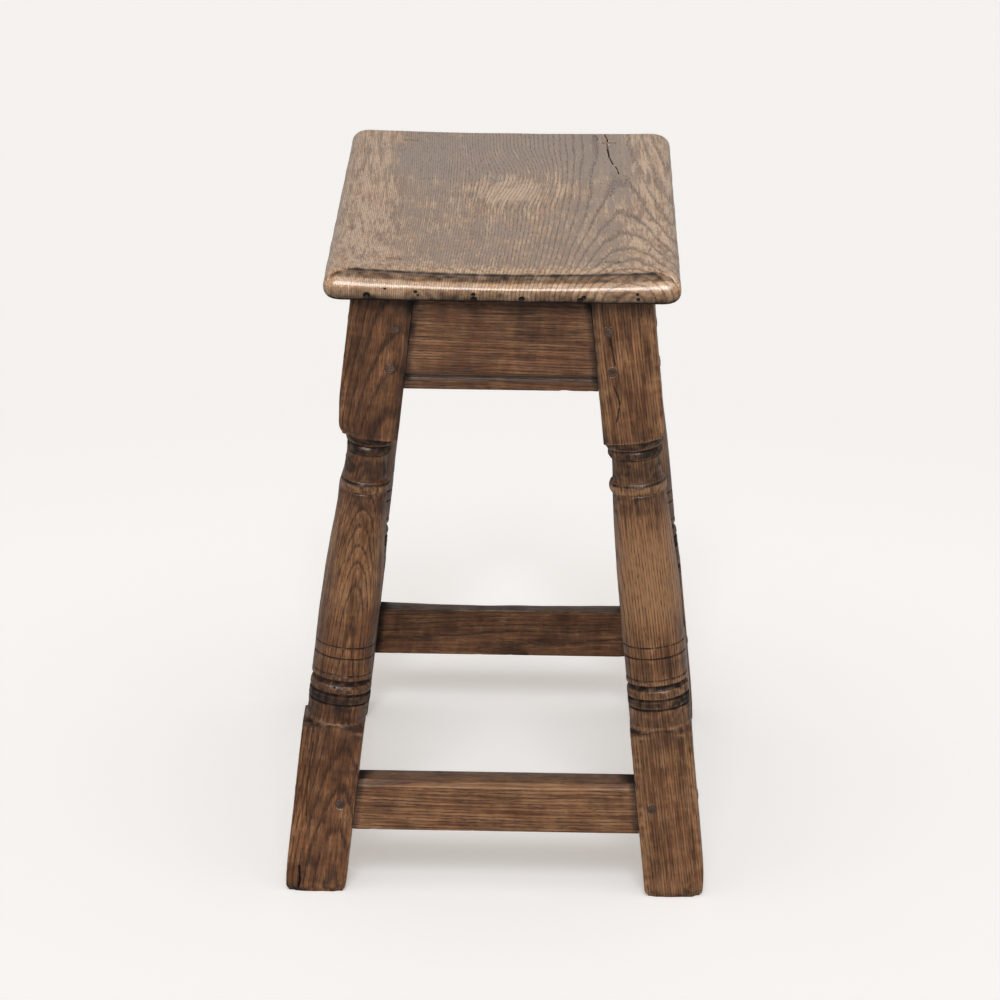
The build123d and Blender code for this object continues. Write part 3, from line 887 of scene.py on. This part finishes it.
def makeRail(side, kind, seed, pith, tan):
    low, high = (apronLow.z, frameTop) if kind == "apron" else (railLow.z, railHigh.z)
    across = side in ("front", "back")
    length = 2 * innerX(low) if across else 2 * (legY - legHalf)
    section = apronSection(low, high) if kind == "apron" else stretcherSection(low, high)
    bm = sweepSection(outlineLoop(section, rails["fine"]), length)
    grain, grime, rubbed, bloom = finishLayers(bm)
    for v in bm.verts:
        t, depth, z = v.co.x * 2 - 1, v.co.y, v.co.z
        run = t * length / 2
        spot = (run, depth, z)
        drop = 0.0
        bite = 0.12 * lump(spot, 30, seed) + 0.06 * lump(spot, 5, seed + 4)
        fromTop, fromLow = high - z, z - low
        if kind == "stretcher":
            middle = (1 - t * t) ** 0.7
            top = 1 - ramp(fromTop, 0, 9)
            feet = 1 - ramp(depth, 5, 14)
            drop = top * middle * feet * (rails["footWear"] + 0.7 * lump((run, 0, 0), 28, seed + 6))
        if fromLow < 2.5:
            drop -= 1.6 * max(0, lump((run, depth, 0), 9, seed + 2) - 0.3) * (1 - fromLow / 2.5)
        drop += rails["sag"] * (1 - ramp(fromLow, 0, 14))
        inward = 1 if depth < railDepth / 2 else -1
        v.co = railPoint(side, t, depth + inward * (0.08 + bite), z - drop)
        fromEnd = (1 - abs(t)) * length / 2
        patch = lump(spot, 24, seed + 9)
        small = lump(spot, 5, seed + 12)
        face = 1 - ramp(depth, 0.5, 3)
        dirty = 0.1 + 0.22 * max(0, patch) + 0.55 * (1 - ramp(fromEnd, 1, 7))
        bright = 0.15 + 0.3 * max(0, -patch)
        grey = 0.06
        if kind == "apron":
            # painted shade under the seat: the apron darker towards its top
            dirty += 0.45 * (1 - ramp(fromTop, 0, 14))
            moulding = rails["band"] + rails["cove"] + rails["fillet"]
            if depth < 6 and fromLow < moulding + 0.4:
                dirty += 0.3 * ramp(depth, 0.7, 1.6)
                grey += 0.85 * ramp(depth, 0.05, 0.7)
            # darker on the inner face
            if depth > railDepth / 2:
                dirty += 0.25
            bright += 0.15 * (1 - ramp(fromTop, 30, 70)) * ramp(fromTop, 12, 30)
        else:
            onTop = (1 - ramp(fromTop, 0.5, 2.5)) * ramp(depth, rails["bevel"], rails["bevel"] + 3)
            grey += 0.5 * onTop
            bright += 0.25 * onTop
            slope = (1 - ramp(fromTop, rails["bevel"] - 0.5, rails["bevel"] + 1.5)) * (1 - onTop)
            if depth < rails["bevel"] + 2:
                bright += 0.2 * slope * (1 - t * t)
            # a painted highlight along the arris under the bevel, over a little real wear of that edge
            bright += 0.8 * (1 - ramp(abs(fromTop - rails["bevel"] - 0.4), 0.2, 1.4)) * (1 - ramp(depth, 0.3, 1.2))
            dirty += onTop * 0.5 * ramp(abs(t), 0.85, 0.97)
            # darker on the inner face
            if depth > railDepth / 2:
                dirty += 0.15
        v[grime] = clamp(dirty + 0.12 * small)
        v[rubbed] = clamp(bright + tan + 0.15 * small * face)
        v[bloom] = clamp(grey)
        v[grain] = Vector((depth + pith[0] + pith[2] * run, z + pith[1] + pith[3] * run, run + 53 * seed))
    nodeName = side + "_" + kind
    return finishPiece(side + kind.capitalize(), bm, oakFrame, nodeName)


railMarks = {
    ("front", "apron"): (11.3, (34, -550, 0.0, 0.02), 0.0),
    ("back", "apron"): (12.9, (48, -520, 0.01, 0.0), 0.0),
    ("left", "apron"): (14.2, (70, -430, 0.0, 0.01), 0.0),
    ("right", "apron"): (15.8, (45, -530, 0.01, 0.02), 0.0),
    ("front", "stretcher"): (21.4, (58, -150, 0.0, 0.015), 0.25),
    ("back", "stretcher"): (23.1, (-80, -60, 0.02, 0.0), 0.0),
    ("left", "stretcher"): (24.6, (50, -90, 0.0, 0.01), 0.0),
    ("right", "stretcher"): (26.7, (64, -30, 0.01, 0.0), 0.0),
}
for (side, kind), marks in railMarks.items():
    makeRail(side, kind, *marks)
print("rails planed")


seat = {
    "cellsAcross": 140,     # over the flat, from side to side
    "cellsAlong": 270,
    "reach": 17.5,          # of the thumbnail moulding in from the edge
    "steps": 20,
    "fullness": 2.2,        # 2 is a plain quarter round
    "quirk": 2.4,           # its depth at the front; elsewhere it is worn to a line
    "wornQuirk": 0.35,
    "nose": 10.6,           # widest point above the underside
    "underRound": 8.0,
    "corner": 10.0,         # plan radius of the corners
    "dishBack": 1.5,
    "dishFront": 4.6,
    "edgeWear": 0.6,
}
seatNose = seatLow.z + seat["nose"]


def seatRows():
    # from the flat out to the nose: inset, share of the quirk, share of the thumbnail's height
    reach = seat["reach"]
    rows = [(reach + 1.6, 0, 1), (reach + 0.7, 0.06, 1), (reach + 0.35, 0.3, 1), (reach, 0.95, 1)]
    rows += [(reach - 0.3, 1.22, 1), (reach - 0.8, 1.06, 1)]
    power = 2 / seat["fullness"]
    for i in range(1, seat["steps"] + 1):
        turn = pi / 2 * (1 - i / seat["steps"])
        rows.append(((reach - 0.8) * (1 - cos(turn) ** power), 1, sin(turn) ** power))
    return rows


def seatUnder():
    # the same rolled under, back to the flat of the underside
    rows = []
    for i in range(1, 10):
        turn = pi / 2 * i / 9
        rows.append((seat["underRound"] * (1 - cos(turn)), seatNose - seat["nose"] * sin(turn)))
    return rows + [(14, seatLow.z), (30, seatLow.z)]


def roundCorner(x, y, inset):
    # pull a point of a square corner back onto a round one
    radius = max(seat["corner"] - inset * 0.35, 3.5)
    halfX, halfY = seatHigh.x - inset, seatHigh.y - inset
    dx, dy = abs(x) - (halfX - radius), abs(y) - (halfY - radius)
    if dx > 0 and dy > 0:
        pull = max(dx, dy) / hypot(dx, dy)
        dx, dy = dx * pull, dy * pull
        x = (halfX - radius + dx) * (1 if x > 0 else -1)
        y = (halfY - radius + dy) * (1 if y > 0 else -1)
    return x, y


def seatWear(x, y, z):
    # the board is sat hollow, most at the front, and its front arris is rubbed down to the quirk
    low = ramp(z, seatNose - 4, seatHigh.z - 3)
    sideways = clamp(1 - (x / (seatHigh.x - 5)) ** 2)
    towards = (seatHigh.y - y) / (2 * seatHigh.y)
    hollow = sideways * (seat["dishBack"] + (seat["dishFront"] - seat["dishBack"]) * towards)
    hollow += 0.3 * lump((x, y, 0), 60, 31.7) * ramp(sideways, 0, 0.3)
    endIn, sideIn = seatHigh.y + y, seatHigh.x - abs(x)
    flat = ramp(z, seatHigh.z - 0.9, seatHigh.z - 0.2)
    arris = flat * (1 - ramp(endIn, seat["reach"], seat["reach"] + 11)) * (0.7 + 0.6 * sideways)
    arris += 0.4 * flat * (1 - ramp(sideIn, seat["reach"], seat["reach"] + 8))
    return low * max(0, hollow) + arris


def makeSeat():
    rows = seatRows()
    rimCells = len(rows)
    across = seat["cellsAcross"] // 2
    along = seat["cellsAlong"] // 2
    flatX = seatHigh.x - rows[0][0]
    flatY = seatHigh.y - rows[0][0]
    bm = bmesh.new()
    cellsX, cellsY = 2 * (across + rimCells - 1), 2 * (along + rimCells - 1)
    bmesh.ops.create_grid(bm, x_segments=cellsX, y_segments=cellsY, size=1)

    def spread(cell, flatCells, flat, half):
        cell = round(cell)
        if cell <= flatCells:
            return flat * cell / flatCells, 0
        return half - rows[cell - flatCells][0], cell - flatCells

    for v in bm.verts:
        signX, signY = (1 if v.co.x > 0 else -1), (1 if v.co.y > 0 else -1)
        x, ringX = spread(abs(v.co.x) * cellsX / 2, across, flatX, seatHigh.x)
        y, ringY = spread(abs(v.co.y) * cellsY / 2, along, flatY, seatHigh.y)
        inset, quirkShare, thumb = rows[max(ringX, ringY)]
        front = ramp(ringY - ringX, -1, 1) if signY < 0 else 0.0
        faded = seat["wornQuirk"] * (1 + 0.8 * lump((x * signX, y * signY, 0), 26, 61.1))
        quirk = faded + (seat["quirk"] - faded) * front
        x, y = roundCorner(signX * x, signY * y, inset)
        v.co = Vector((x, y, seatNose + (seatHigh.z - quirk * quirkShare - seatNose) * thumb))

    rim = [e for e in bm.edges if e.is_boundary]
    before = 0
    for inset, height in seatUnder():
        grown = bmesh.ops.extrude_edge_only(bm, edges=rim)["geom"]
        rim = [g for g in grown if isinstance(g, bmesh.types.BMEdge)]
        for v in [g for g in grown if isinstance(g, bmesh.types.BMVert)]:
            v.co.x *= (seatHigh.x - inset) / (seatHigh.x - before)
            v.co.y *= (seatHigh.y - inset) / (seatHigh.y - before)
            v.co.z = height
        before = inset
    for face in bmesh.ops.contextual_create(bm, geom=rim)["faces"]:
        face.smooth = False

    print("   seat", len(bm.verts), "vertices before its marks")
    cuts = []
    for centre, normal in pegHeads("seat_pegs"):
        refine(bm, centre, 10)
        refine(bm, centre, 8)
        ringCut(centre, normal, 5.6, 0.75, 0.8, cuts)
    for crack in seatCracks:
        points = [Vector((x, y, seatHigh.z)) for x, y in crack["points"]]
        for start, end in zip(points, points[1:]):
            refineAlong(bm, start, end, 3.2)
            refineAlong(bm, start, end, 1.9)
        cuts.append({**crack, "points": points})
    for x, y, z, width, depth in seatHoles:
        centre = Vector((x, y, z))
        refine(bm, centre, 5)
        refine(bm, centre, 3.6)
        cuts.append({"points": [centre], "width": width, "depth": depth})
    grain, grime, rubbed, bloom = finishLayers(bm)
    dark = carve(bm, cuts)
    for v in bm.verts:
        x, y, z = v.co
        spot = (x, y, z)
        sideIn = seatHigh.x - abs(x)
        endIn = seatHigh.y - abs(y)
        edgeIn = min(sideIn, endIn)
        isFront = endIn < sideIn and y < 0
        inside = ramp(edgeIn, seat["reach"] - 0.5, seat["reach"] + 0.5)
        upper = ramp(z, seatNose, seatHigh.z - 1.5)
        patch = lump(spot, 30, 41.3)
        small = lump(spot, 5, 43.9)
        # grey over the middle, partly wax bloom and partly a painted sheen, greyer towards the back; bare tan margins;
        # a rubbed patch
        margin = x + 14 * lump((x, y, 0), 45, 47.7)
        middle = ramp(margin, -108, -78) * (1 - ramp(margin, 92, 120)) * ramp(endIn if y < 0 else 99, 14, 60)
        slant = x - 6 - 0.18 * (y - 30)
        rub = exp(-((slant / 42) ** 2 + ((y - 30) / 66) ** 2)) * clamp(1 + 0.9 * lump((x, y, 0), 17, 77.3))
        grey = inside * ((0.45 + 0.35 * ramp(y, -60, 120)) * middle - 0.9 * rub + 0.2 * patch)
        bright = inside * (0.14 + 0.8 * rub + 0.5 * (1 - middle) + 0.2 * patch)
        dirty = 0.02
        if not inside or edgeIn < seat["reach"] + 2:
            if isFront:
                dirty += (0.52 + 0.16 * small) * (1 - ramp(abs(edgeIn - seat["reach"] + 0.3), 0.2, 1.2))
            else:
                dirty += (0.22 + 0.35 * small) * (1 - ramp(abs(edgeIn - seat["reach"] + 0.1), 0.4, 3))
        if isFront:
            # an ochre band above the nose, and a painted highlight on the nose's upper part
            band = ramp(edgeIn, 2.2, 6) * (1 - inside)
            dirty += 0.3 * (1 - ramp(abs(edgeIn - seat["reach"] - 2), 0.5, 2.5)) + (0.54 + 0.25 * small) * band
            bright += 0.1 * (1 - ramp(edgeIn, 3, 9)) * upper + 0.1 * band
        elif edgeIn < seat["reach"]:
            bright += 0.45 * upper
        # darker towards the underside of the nose, and darker again on the flat underside
        if z < seatNose + 2:
            below = ramp(z, seatNose + 2, seatLow.z)
            dirty += 0.32 + 0.36 * below + 0.3 * max(0, small)
            grey += 0.2 * (1 - below)
        if z < seatLow.z + 0.5 and edgeIn > seat["underRound"] + 2:
            dirty += 0.3
        v.co.z -= seatWear(x, y, z)
        nicks = 0.15 if isFront else 0.9
        inward = seat["edgeWear"] * (0.3 + 0.7 * lump((x, y, 0), 33, 51.1) + nicks * max(0, lump((x, y, z), 7, 57.1)))
        outside = 1 - ramp(edgeIn, 0, 13)
        if sideIn < endIn:
            v.co.x -= max(0, inward) * outside * (1 if x > 0 else -1)
        else:
            v.co.y -= max(0, inward) * outside * 0.6 * (1 if y > 0 else -1)
        pithDepth = 38 + 26 * (1 - exp(-max(0, y + 230) / 150)) - 0.35 * max(0, -230 - y)
        bend = 13 * exp(-(((x - 8) / 34) ** 2)) * (ramp(y, -45, 80) - ramp(y, 90, 200))
        v[grain] = Vector((x - 97 + 0.02 * y - bend, z - seatHigh.z + pithDepth, y))
        v[grime] = clamp(dirty + dark.get(v, 0))
        v[rubbed] = clamp(bright)
        v[bloom] = clamp(grey)
    return finishPiece("seatTop", bm, oakSeat, "seat_top")


# plan points of the shakes at the back, and worm holes and knocks in the edge
seatCracks = [
    {"points": [(80.5, 264), (84, 246), (86.5, 226)], "width": 0.55, "depth": 2.0},
    {"points": [(74.5, 247), (78, 232), (76.5, 224)], "width": 0.5, "depth": 1.2},
    {"points": [(86.5, 226), (86, 199), (87.5, 160), (91, 128)], "width": 0.7, "depth": 4.0},
    {"points": [(92.5, 124), (94.5, 108), (95.5, 92)], "width": 0.5, "depth": 1.4},
    {"points": [(70, 170), (88, 171), (109, 174)], "width": 0.5, "depth": 0.3, "dark": 0.4},
]
seatHoles = [
    (-107.5, -263, 519.5, 2.8, 2.6),
    (-93, -264, 526, 1.2, 0.9),
    (-68.7, -263.4, 523.5, 1.7, 1.5),
    (-66.5, -262.5, 520.5, 1.4, 1.0),
    (-22.6, -262.5, 522, 2.2, 1.8),
    (-22.2, -261.8, 517.6, 2.4, 2.2),
    (15.9, -261.8, 518.4, 2.5, 2.4),
    (62.6, -262.2, 517.8, 2.3, 2.2),
    (65.2, -262.8, 520.6, 1.9, 1.8),
    (107.9, -263.4, 524, 1.5, 1.4),
    (108.6, -262.4, 519.6, 1.5, 1.4),
    (142, -120, 526, 1.9, 1.6),
    (142, -150, 527, 1.4, 1.2),
    (142, -205, 524, 2.2, 2.0),
    (-142, -245, 524, 2.2, 2.0),
]
makeSeat()
print("seat moulded")


pegs = {"sides": 8, "radius": 4.05, "length": 27.5, "seatRadius": 4.4, "seatLength": 46, "sink": 0.15}


def makePeg(head, normal, radius, length, turn):
    # a riven peg: eight sides, its struck head a little domed and its edge knocked round
    bm = bmesh.new()
    bmesh.ops.create_cone(
        bm, cap_ends=True, segments=pegs["sides"], radius1=radius * 0.85, radius2=radius, depth=length
    )
    bmesh.ops.translate(bm, verts=bm.verts, vec=(0, 0, -length / 2))
    top = [f for f in bm.faces if f.calc_center_median().z > -0.01]
    rim = [e for f in top for e in f.edges]
    bmesh.ops.bevel(bm, geom=rim, offset=0.8, segments=3, profile=0.5, affect="EDGES", material=-1)
    top = [f for f in bm.faces if f.calc_center_median().z > -0.01]
    for cut in range(3):
        bmesh.ops.inset_region(bm, faces=top, thickness=0.9, depth=0.08)
    for v in bm.verts:
        shift = Vector((lump(v.co, 3, turn), lump(v.co, 3, turn + 2), lump(v.co, 2, turn + 5)))
        v.co += shift * (0.22 if v.co.z > -2 else 0.1)
    aim = normal.to_track_quat("Z", "Y").to_matrix().to_4x4()
    bmesh.ops.transform(bm, matrix=Matrix.Translation(head) @ aim @ Matrix.Rotation(turn, 4, "Z"), verts=bm.verts)
    return bm


def makePegs(nodeName, seed):
    onSeat = nodeName == "seat_pegs"
    radius = pegs["seatRadius"] if onSeat else pegs["radius"]
    length = pegs["seatLength"] if onSeat else pegs["length"]
    bm = bmesh.new()
    for index, (head, normal) in enumerate(pegHeads(nodeName)):
        sink = seatWear(head.x, head.y, head.z) - 0.1 if onSeat else pegs["sink"]
        one = makePeg(head - normal * sink, normal, radius, length, seed + 1.7 * index)
        mesh = bpy.data.meshes.new("onePeg")
        one.to_mesh(mesh)
        one.free()
        bm.from_mesh(mesh)
        bpy.data.meshes.remove(mesh)
    grain, grime, rubbed, bloom = finishLayers(bm)
    for v in bm.verts:
        if onSeat:
            v[grain] = Vector((v.co.x, v.co.y + 30, v.co.z))
        else:
            v[grain] = Vector((v.co.x + 20, v.co.z, v.co.y))
        v[grime] = clamp((0.0 if onSeat else 0.25) + 0.5 * lump(v.co, 3, seed))
        v[rubbed] = clamp((0.8 if onSeat else 0.0) + 0.3 * lump(v.co, 4, seed + 3))
        v[bloom] = clamp((0.1 if onSeat else 0.35) + 0.3 * lump(v.co, 5, seed + 6))
    words = nodeName.split("_")
    camel = words[0] + "".join(word.capitalize() for word in words[1:])
    return finishPiece(camel, bm, oakPegs, nodeName)


for place, nodeName in enumerate(sorted(n for n in frame["nodes"] if n.endswith("_pegs"))):
    makePegs(nodeName, 3.1 * place)
print("pegs driven")


studio = {
    "floorSize": 40,
    "floorColour": (0.88, 0.865, 0.85),
    "paperEdge": 0.955,     # the paper's colour is painted a little darker away from the stool: painted shade
    "zenith": 0.33,         # the tent that lights everything, overhead
    "horizon": 0.31,        # and low down
    "paperGlow": 0.375,     # a painted glow in the paper, which keeps its shadows weak and warm
    "glowTint": (1.04, 0.985, 0.93),
    "tentColour": (1.0, 0.97, 0.94),
    "frontDark": 0.035,     # what the polish mirrors: black behind the camera,
    "backBright": 0.34,     # white paper at the sides and the back
    "topBright": 0.16,
    # strength, spread, tilt and colour: a soft bank behind the camera and a wider one over it light
    # the stool; the paper has two of its own, and the low one passes under the seat
    "suns": [
        ("key", 1.45, 32, 55, (1, 1, 1)),
        ("fill", 1.1, 75, 30, (1, 1, 1)),
        ("paperFill", 0.46, 75, 30, (1, 1, 1)),
        ("paperLow", 1.21, 20, 48, (0.94, 1.02, 1.1)),
    ],
}


def makeStudio():
    bm = bmesh.new()
    bmesh.ops.create_grid(bm, x_segments=1, y_segments=1, size=studio["floorSize"] / 2)
    mesh = bpy.data.meshes.new("floor")
    bm.to_mesh(mesh)
    bm.free()
    paper = Shading("floorPaper")
    place = paper.tree.nodes.new("ShaderNodeTexCoord").outputs["Object"]
    x, y, z = paper.separate(place)
    away = paper.math("SQRT", paper.math("ADD", paper.math("MULTIPLY", x, x), paper.math("MULTIPLY", y, y)))
    # painted shade: the paper's colour darker away from the stool
    falloff = paper.spread(away, 0.65, 1.3)
    dimmer = tuple(part * studio["paperEdge"] for part in studio["floorColour"])
    white = paper.mix(falloff, studio["floorColour"], dimmer)
    paper.put(paper.shader.inputs["Base Color"], white)
    # the paper glows: painted light, tinted warm
    paper.put(paper.shader.inputs["Emission Color"], paper.mix(1.0, white, studio["glowTint"], "MULTIPLY"))
    paper.shader.inputs["Roughness"].default_value = 1.0
    paper.shader.inputs["Specular IOR Level"].default_value = 0.0
    paper.shader.inputs["Emission Strength"].default_value = studio["paperGlow"]
    mesh.materials.append(paper.material)
    floor = bpy.data.objects.new("floor", mesh)
    floor.visible_glossy = False
    bpy.context.scene.collection.objects.link(floor)

    # an even tent for the light, and a darker front for the reflections alone
    world = bpy.data.worlds.new("studio")
    world.use_nodes = True
    tree = world.node_tree
    tent = tree.nodes["Background"]
    mirrored = tree.nodes.new("ShaderNodeBackground")
    share = tree.nodes.new("ShaderNodeMixShader")
    path = tree.nodes.new("ShaderNodeLightPath")
    way = tree.nodes.new("ShaderNodeTexCoord")
    parts = tree.nodes.new("ShaderNodeSeparateXYZ")
    tree.links.new(way.outputs["Generated"], parts.inputs[0])

    def spread(value, low, high, toLow, toHigh):
        node = tree.nodes.new("ShaderNodeMapRange")
        node.interpolation_type = "SMOOTHSTEP"
        for socket, number in zip(node.inputs, (value, low, high, toLow, toHigh)):
            if isinstance(number, bpy.types.NodeSocket):
                tree.links.new(number, socket)
            else:
                socket.default_value = number
        return node.outputs[0]

    level = spread(parts.outputs["Z"], 0.0, 1.0, studio["horizon"], studio["zenith"])
    backward = spread(parts.outputs["Y"], -0.75, 0.5, studio["frontDark"], studio["backBright"])
    high = spread(parts.outputs["Z"], 0.4, 0.8, 0.0, 1.0)
    seen = tree.nodes.new("ShaderNodeMix")
    tree.links.new(high, seen.inputs[0])
    tree.links.new(backward, seen.inputs[2])
    seen.inputs[3].default_value = studio["topBright"]
    tree.links.new(level, tent.inputs["Strength"])
    tree.links.new(seen.outputs[0], mirrored.inputs["Strength"])
    for background in (tent, mirrored):
        background.inputs["Color"].default_value = (*studio["tentColour"], 1)
    tree.links.new(path.outputs["Is Glossy Ray"], share.inputs[0])
    tree.links.new(tent.outputs[0], share.inputs[1])
    tree.links.new(mirrored.outputs[0], share.inputs[2])
    tree.links.new(share.outputs[0], tree.nodes["World Output"].inputs["Surface"])
    bpy.context.scene.world = world

    for name, strength, wide, tilt, colour in studio["suns"]:
        data = bpy.data.lights.new(name, "SUN")
        data.energy = strength
        data.angle = radians(wide)
        data.color = colour
        sun = bpy.data.objects.new(name, data)
        sun.rotation_euler = (radians(tilt), 0, 0)
        bpy.context.scene.collection.objects.link(sun)
        # the paper is lit only by its own suns, and those light nothing else
        lit = bpy.data.collections.new(name + "Lit")
        lit.objects.link(floor)
        sun.light_linking.receiver_collection = lit
        if not name.startswith("paper"):
            lit.collection_objects[0].light_linking.link_state = "EXCLUDE"
        if name == "paperLow":
            passed = bpy.data.collections.new("passed")
            for piece in bpy.context.scene.objects:
                if "Apron" in piece.name or piece.name.startswith("seat"):
                    passed.objects.link(piece)
            for link in passed.collection_objects:
                link.light_linking.link_state = "EXCLUDE"
            sun.light_linking.blocker_collection = passed
    bpy.context.scene.view_settings.view_transform = "Standard"


makeStudio()
print("studio lit")
